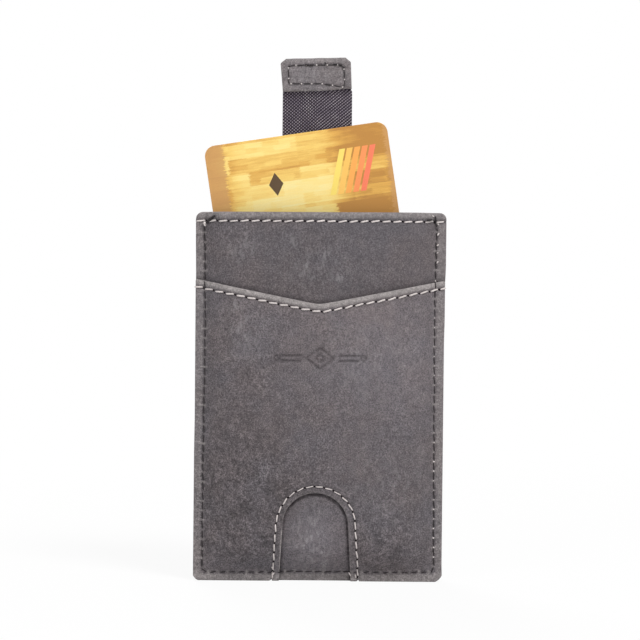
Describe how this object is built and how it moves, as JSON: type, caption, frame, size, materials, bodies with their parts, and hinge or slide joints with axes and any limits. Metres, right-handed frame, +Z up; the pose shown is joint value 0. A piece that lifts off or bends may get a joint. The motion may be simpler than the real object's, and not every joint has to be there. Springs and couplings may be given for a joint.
{
  "type": "card case",
  "caption": "Lined leather card case with a slip pocket, a thumb notch and a webbing strap that lifts the card.",
  "frame": {"origin": "on the surface it stands on, under the middle of the case's width and of its whole depth", "axes": "+Z up through the mouth, -Y out of the pocket's front, +X to the right of someone facing the front"},
  "size_m": [0.073, 0.0146, 0.1536],
  "materials": {
    "grey_leather": "waxed nubuck, matt, with light scuffs",
    "lining_cloth": "fine plain weave",
    "shield_foil": "thin metallised film",
    "light_thread": "twisted thread",
    "dark_thread": "twisted thread",
    "strap_webbing": "herringbone webbing",
    "gold_card": "satin laminate",
    "contact_plate": "gold-plated contacts"
  },
  "bodies": {
    "case": {"front_panel": "grey_leather", "pocket_panel": "grey_leather", "back_panel": "grey_leather", "front_lining": "lining_cloth", "back_lining": "lining_cloth", "front_shield_foil": "shield_foil", "back_shield_foil": "shield_foil", "mouth_stitching_front": "light_thread", "mouth_stitching_back": "light_thread", "pocket_edge_stitching": "light_thread", "notch_stitching": "light_thread", "perimeter_stitching": "dark_thread", "perimeter_bobbin_thread": "dark_thread", "strap_front_run": "strap_webbing", "strap_anchor_stitching": "dark_thread"},
    "strap_fold": {"strap_fold": "strap_webbing"},
    "tab": {"tab_cap": "grey_leather", "tab_stitching": "dark_thread", "strap_rear_run": "strap_webbing"},
    "card": {"payment_card": "gold_card", "card_chip": "contact_plate"}
  },
  "joints": [
    {"name": "strap_tab_pull", "type": "slide", "parent": "strap_fold", "child": "tab", "axis": [0, 0, 1], "range_m": [-0.013, 0.036], "deforming": ["strap_rear_run"]},
    {"name": "strap_fold_rise", "type": "slide", "parent": "case", "child": "strap_fold", "axis": [0, 0, 1], "range_m": [-0.013, 0.036], "deforming": ["strap_front_run"]},
    {"name": "card_slide", "type": "slide", "parent": "strap_fold", "child": "card", "axis": [-0.0471, 0, 0.9989], "range_m": [-0.019, 0.084]}
  ],
  "couplings": [
    {"joint": "strap_fold_rise", "follows": "strap_tab_pull", "ratio": 1}
  ]
}
